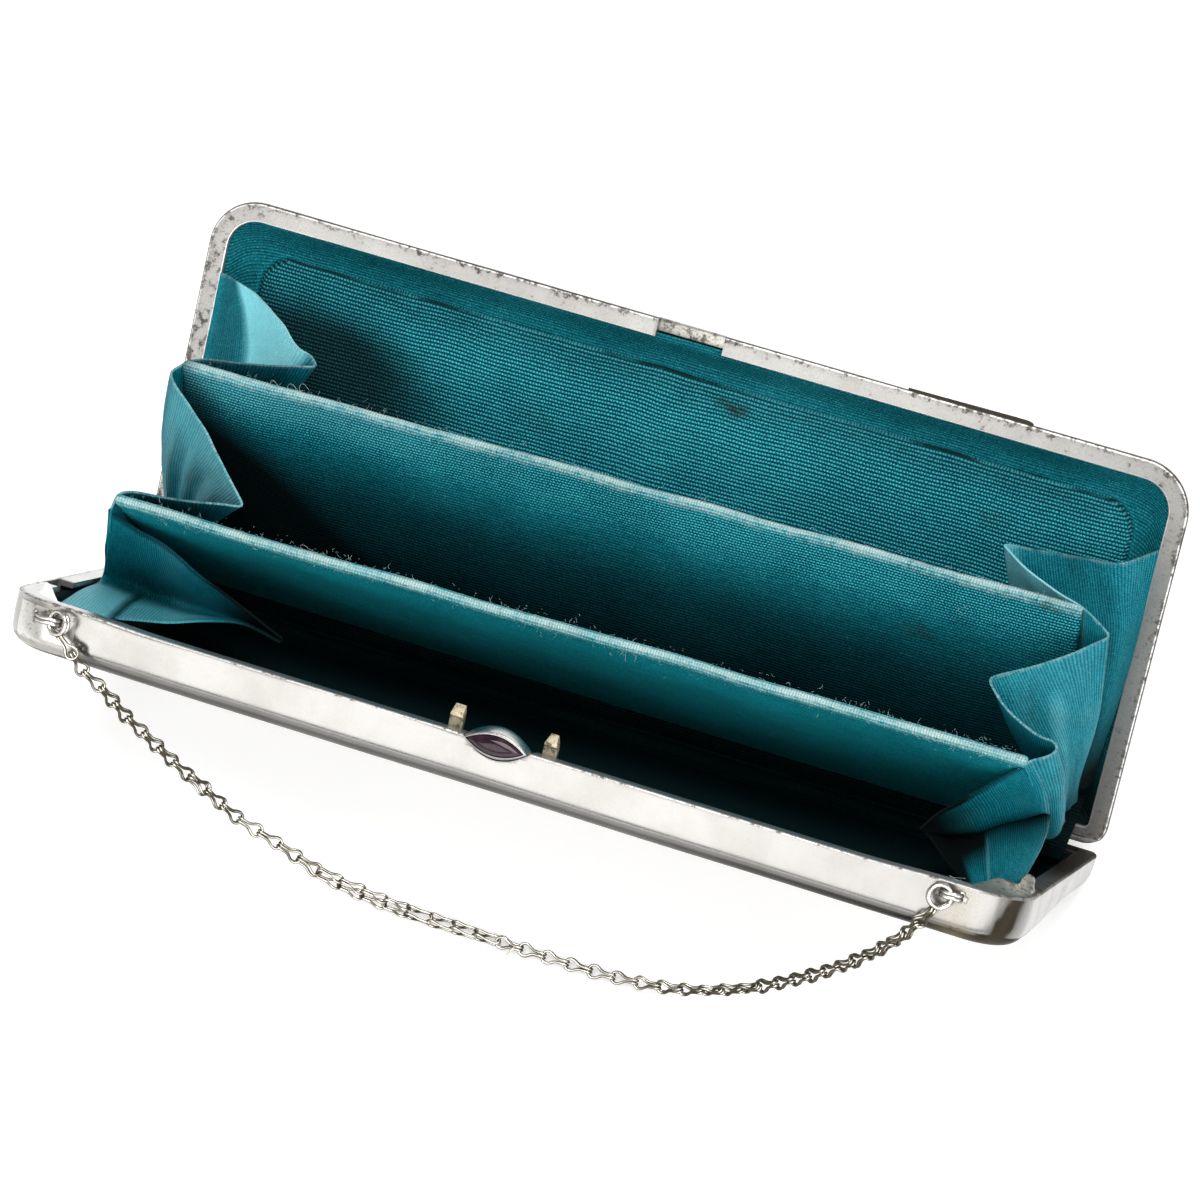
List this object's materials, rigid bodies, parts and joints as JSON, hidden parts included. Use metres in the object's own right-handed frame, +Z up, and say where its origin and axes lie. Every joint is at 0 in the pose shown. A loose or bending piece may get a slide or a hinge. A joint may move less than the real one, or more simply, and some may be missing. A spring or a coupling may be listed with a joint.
{
  "type": "silver purse",
  "caption": "Long hinged silver purse standing open on its hinge edge, with ribbed silk lining, stiff dividers, bellows gussets, a push clasp with a navette stone and a fine carrying chain.",
  "frame": {"origin": "middle of the bounding box, on the surface the purse stands on", "axes": "+X along the hinge, -Y towards the half with the clasp and chain, +Z up"},
  "size_m": [0.165, 0.0966, 0.0549],
  "materials": {
    "silver": "polished silver with fine scratches and grey tarnish along the rims",
    "chain": "slightly tarnished silver wire",
    "stone": "polished dark purple cabochon",
    "silk": "ribbed teal silk, worn pale at the edges"
  },
  "bodies": {
    "root": {"base_shell": "silver", "lid_shell": "silver", "hinge_pin": "silver", "base_lining": "silk", "lid_lining": "silk", "panel_front": "silk", "panel_rear": "silk", "gusset_left": "silk", "gusset_right": "silk", "ring_left": "silver", "ring_right": "silver", "chain": "chain"},
    "clasp": {"clasp": "silver", "cabochon": "stone"}
  },
  "joints": [
    {"name": "clasp_press", "type": "slide", "parent": "root", "child": "clasp", "axis": [0, 0.6618, -0.7496], "range_m": [0, 0.001], "stiffness_N_per_m": 400}
  ]
}
